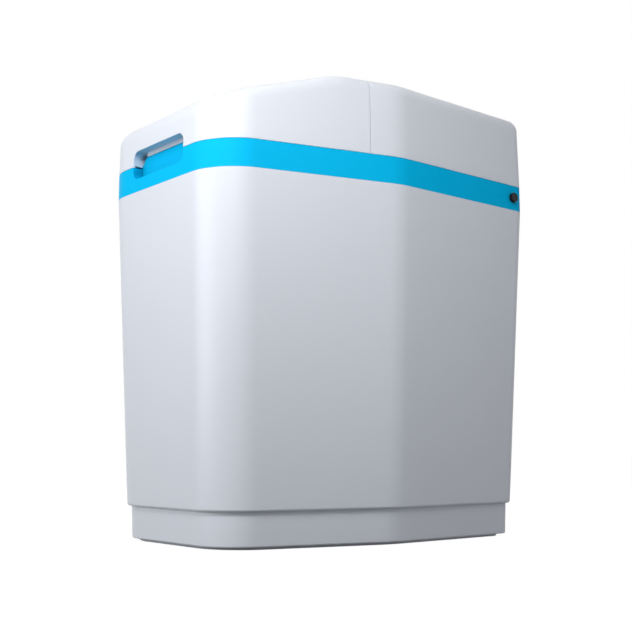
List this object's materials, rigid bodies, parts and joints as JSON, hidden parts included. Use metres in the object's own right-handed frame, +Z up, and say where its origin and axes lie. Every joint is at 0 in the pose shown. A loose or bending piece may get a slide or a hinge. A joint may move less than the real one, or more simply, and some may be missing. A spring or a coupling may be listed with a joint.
{
  "type": "water softener",
  "caption": "Tapered cabinet water softener with a hinged salt lid, lift-off valve cover, resin tank, motor-driven valve, bypass and brine well.",
  "frame": {"origin": "on the floor, under the middle of the cabinet's plan", "axes": "+X to the right seen from the front, +Y from the front to the back, +Z up"},
  "size_m": [0.3894, 0.5733, 0.56],
  "materials": {
    "white_shell": "smooth satin moulded plastic, cool white",
    "blue_band": "smooth satin moulded plastic, bright cyan blue",
    "grey_base": "matt grey moulded plastic",
    "steel": "plain zinc-plated steel",
    "black_plastic": "fine-grained black plastic",
    "rubber_seal": "smooth black rubber",
    "display_glass": "dark tinted clear plastic",
    "grey_button": "silk grey plastic",
    "green_board": "green solder mask",
    "tank_wrap": "wound glass-fibre vessel, dark blue grey",
    "resin": "amber resin beads",
    "natural_plastic": "undyed plastic",
    "dark_valve": "glass-filled dark plastic",
    "red_handle": "red moulded plastic",
    "brass": "turned brass",
    "clear_tube": "milky plastic tube"
  },
  "bodies": {
    "base": {"cabinet": "white_shell", "rim_collar": "blue_band", "base_skid": "grey_base", "base_screws": "steel", "drive_bracket": "steel", "injector_screws": "steel", "overflow_plug": "black_plastic", "overflow_nut": "black_plastic", "tank_boot": "black_plastic", "end_plug": "black_plastic", "drive_motor": "black_plastic", "injector_cap": "black_plastic", "drain_elbow": "black_plastic", "inlet_nut": "black_plastic", "outlet_nut": "black_plastic", "overflow_gasket": "rubber_seal", "neck_seal": "rubber_seal", "piston_seals": "rubber_seal", "resin_tank": "tank_wrap", "resin_bed": "resin", "riser_tube": "natural_plastic", "bottom_strainer": "natural_plastic", "top_strainer": "natural_plastic", "seal_spacers": "natural_plastic", "turbine_cage": "natural_plastic", "brine_well": "natural_plastic", "brine_valve": "natural_plastic", "valve_body": "dark_valve", "bypass_body": "dark_valve", "inlet_nipple": "brass", "outlet_nipple": "brass", "brine_tube": "clear_tube"},
    "menu": {"menu_button": "grey_button"},
    "up": {"up_button": "grey_button"},
    "down": {"down_button": "grey_button"},
    "start": {"start_button": "grey_button"},
    "lid": {"salt_lid": "white_shell"},
    "piston": {"piston": "natural_plastic", "piston_rod": "steel"},
    "gear": {"drive_gear": "natural_plastic"},
    "pinion": {"motor_pinion": "steel"},
    "turbine": {"flow_turbine": "blue_band"},
    "inlet_valve": {"inlet_bypass_valve": "red_handle"},
    "outlet_valve": {"outlet_bypass_valve": "red_handle"},
    "well_cap": {"brine_well_cap": "blue_band"},
    "float": {"brine_float": "natural_plastic", "float_rod": "steel"},
    "cover": {"rear_cover": "white_shell", "hinge_pin": "steel", "control_panel": "black_plastic", "display_lens": "display_glass", "circuit_board": "green_board", "power_inlet": "black_plastic", "power_inlet_nut": "steel"}
  },
  "joints": [
    {"name": "cover_lift", "type": "slide", "parent": "base", "child": "cover", "axis": [0, 0, 1], "range_m": [0, 0.15]},
    {"name": "lid_hinge", "type": "hinge", "parent": "cover", "child": "lid", "pos_m": [0, -0.034, 0.5565], "axis": [-1, 0, 0], "range_deg": [0, 95]},
    {"name": "menu_press", "type": "slide", "parent": "cover", "child": "menu", "axis": [0, 0, -1], "range_m": [0, 0.001], "stiffness_N_per_m": 800},
    {"name": "up_press", "type": "slide", "parent": "cover", "child": "up", "axis": [0, 0, -1], "range_m": [0, 0.001], "stiffness_N_per_m": 800},
    {"name": "down_press", "type": "slide", "parent": "cover", "child": "down", "axis": [0, 0, -1], "range_m": [0, 0.001], "stiffness_N_per_m": 800},
    {"name": "start_press", "type": "slide", "parent": "cover", "child": "start", "axis": [0, 0, -1], "range_m": [0, 0.001], "stiffness_N_per_m": 800},
    {"name": "gear_turn", "type": "hinge", "parent": "base", "child": "gear", "pos_m": [0, 0.0242, 0.43], "axis": [0, 1, 0], "range_deg": [0, 720]},
    {"name": "pinion_turn", "type": "hinge", "parent": "base", "child": "pinion", "pos_m": [0, 0.0242, 0.4625], "axis": [0, 1, 0], "range_deg": [-2400, 0]},
    {"name": "piston_slide", "type": "slide", "parent": "base", "child": "piston", "axis": [0, -1, 0], "range_m": [0, 0.024]},
    {"name": "turbine_spin", "type": "hinge", "parent": "base", "child": "turbine", "pos_m": [0.032, 0.2065, 0.486], "axis": [0, 1, 0], "continuous": true},
    {"name": "inlet_valve_turn", "type": "hinge", "parent": "base", "child": "inlet_valve", "pos_m": [-0.032, 0.2795, 0.486], "axis": [0, 0, 1], "range_deg": [0, 90]},
    {"name": "outlet_valve_turn", "type": "hinge", "parent": "base", "child": "outlet_valve", "pos_m": [0.032, 0.2795, 0.486], "axis": [0, 0, 1], "range_deg": [0, 90]},
    {"name": "well_cap_lift", "type": "slide", "parent": "base", "child": "well_cap", "axis": [0, 0, 1], "range_m": [0, 0.035]},
    {"name": "float_rise", "type": "slide", "parent": "base", "child": "float", "axis": [0, 0, 1], "range_m": [0, 0.02]}
  ],
  "couplings": [
    {"joint": "pinion_turn", "follows": "gear_turn", "ratio": -3.3333},
    {"joint": "piston_slide", "follows": "gear_turn", "m_per_rad": 0.0019099}
  ]
}
